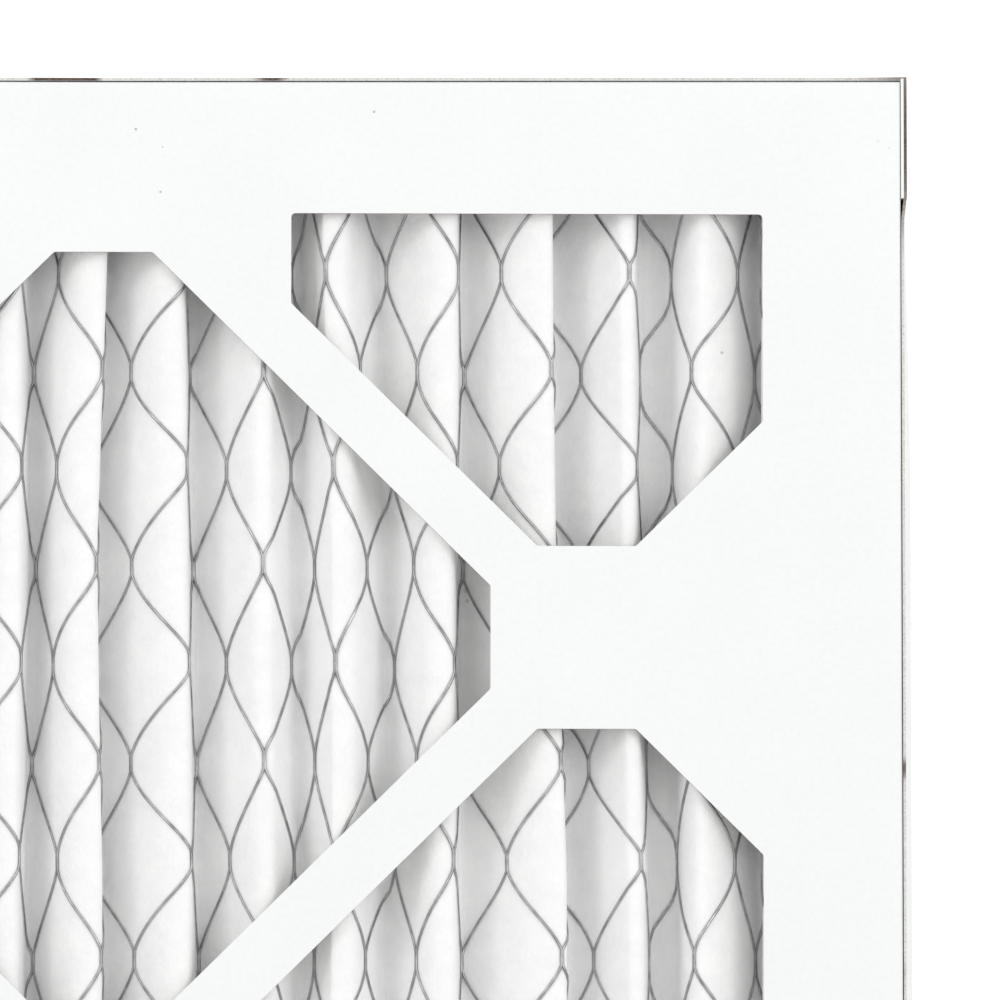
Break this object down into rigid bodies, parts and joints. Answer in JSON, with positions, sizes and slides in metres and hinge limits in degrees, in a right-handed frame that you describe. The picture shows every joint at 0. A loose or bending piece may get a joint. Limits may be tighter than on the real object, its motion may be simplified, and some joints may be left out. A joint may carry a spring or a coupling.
{
  "type": "pleated panel air filter",
  "caption": "Disposable panel air filter: pleated non-woven sheet with expanded-metal backing, glued between nested die-cut board trays with diagonal struts.",
  "frame": {"origin": "middle of the air-entering face, which is the bottom of the panel as it lies flat", "axes": "+Z out of the air-leaving (wire-backed) face, +Y along the panel's height, +X across its width"},
  "size_m": [0.343, 0.4444, 0.0191],
  "materials": {
    "board": "white clay-coated paperboard with brown cut edges",
    "media": "white non-woven cotton and polyester sheet",
    "wire": "bright galvanised expanded metal",
    "glue": "dried white adhesive"
  },
  "bodies": {
    "root": {"front_tray": "board", "back_tray": "board", "pleated_media": "media", "wire_backing": "wire", "front_glue_film": "glue", "back_glue_film": "glue", "end_seal_top": "glue", "end_seal_bottom": "glue", "side_seal_right": "glue", "side_seal_left": "glue"}
  },
  "joints": []
}
